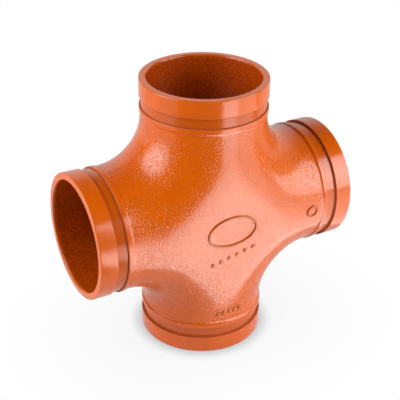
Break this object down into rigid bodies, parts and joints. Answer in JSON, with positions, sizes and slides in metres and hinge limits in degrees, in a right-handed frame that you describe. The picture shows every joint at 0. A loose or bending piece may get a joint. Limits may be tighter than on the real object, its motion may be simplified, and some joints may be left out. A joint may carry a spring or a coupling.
{
  "type": "grooved pipe cross",
  "caption": "Four-way pipe cross, one painted iron casting with swept corners, and a machined gasket seat and coupling groove at every equal outlet.",
  "frame": {"origin": "crossing point of the two bores, half way between each pair of opposite end faces", "axes": "+X along the run towards the right outlet, +Z along the branches towards the top outlet, -Y towards the front face"},
  "size_m": [0.254, 0.1194, 0.254],
  "materials": {
    "painted_casting": "semi-gloss orange paint over a sand-cast skin, smoother on the machined ends"
  },
  "bodies": {
    "root": {"cross_body": "painted_casting"}
  },
  "joints": []
}
